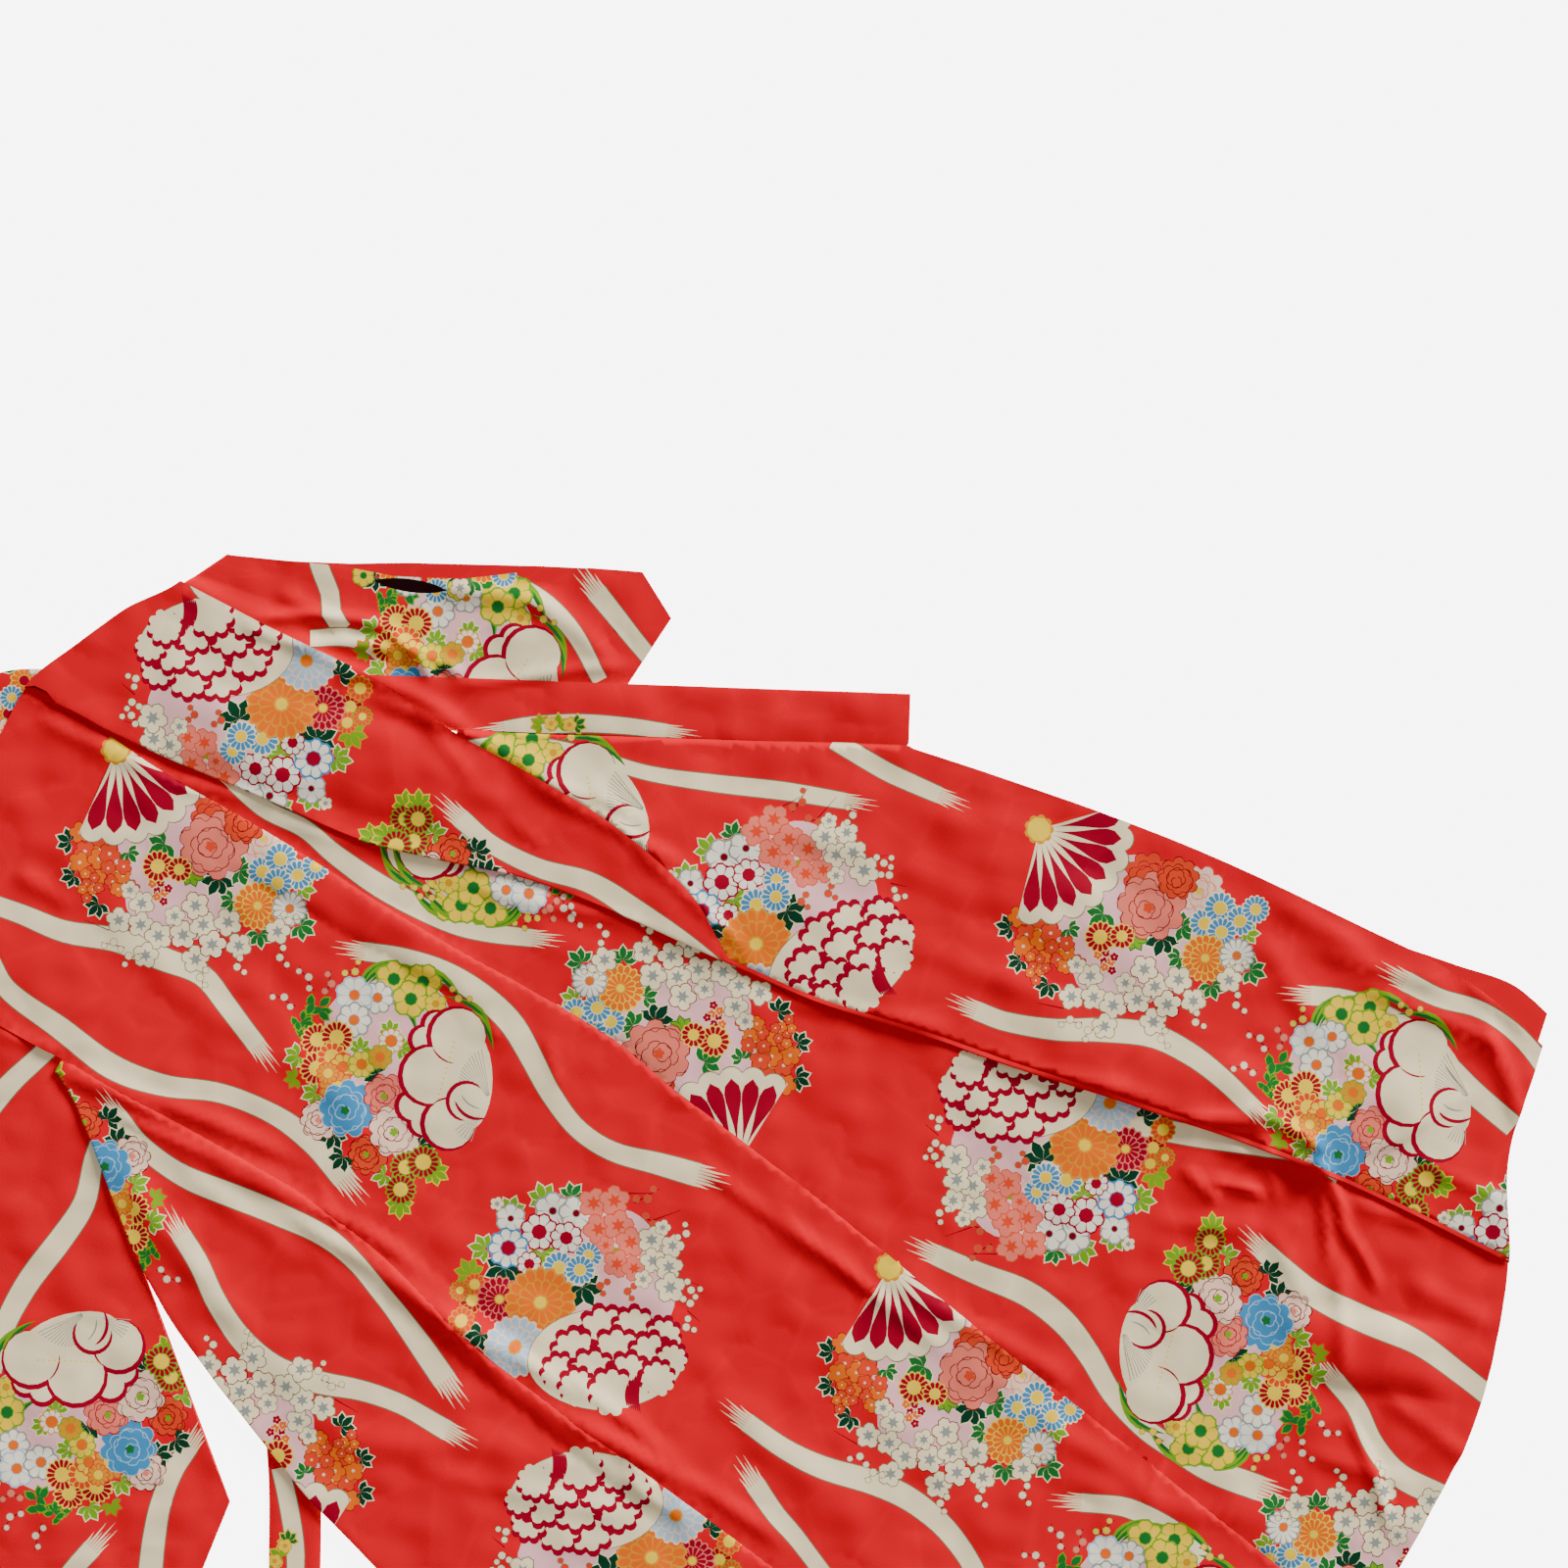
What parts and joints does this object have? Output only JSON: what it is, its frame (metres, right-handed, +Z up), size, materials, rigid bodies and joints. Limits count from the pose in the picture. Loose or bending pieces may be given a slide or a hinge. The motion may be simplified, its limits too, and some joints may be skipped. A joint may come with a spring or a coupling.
{
  "type": "kimono",
  "caption": "Red crepe kimono with flower roundels and cream ribbon bands, laid flat on its front with the back upwards.",
  "frame": {"origin": "on the surface that the kimono lies on, under the left back beside the centre back seam, 800 mm below the neck seam", "axes": "+Z up from the surface, +Y along the garment towards the neck, +X towards the wearer's right sleeve"},
  "size_m": [1.1207, 1.3955, 0.0122],
  "materials": {
    "printed_silk": "matt silk crepe with a soft sheen, red ground with printed flower roundels and cream ribbons"
  },
  "bodies": {
    "root": {"back_left": "printed_silk", "back_right": "printed_silk", "front_left": "printed_silk", "front_right": "printed_silk", "front_left_upper": "printed_silk", "front_right_upper": "printed_silk", "okumi_left": "printed_silk", "okumi_right": "printed_silk", "collar": "printed_silk", "sleeve_left": "printed_silk", "sleeve_right": "printed_silk"}
  },
  "joints": []
}
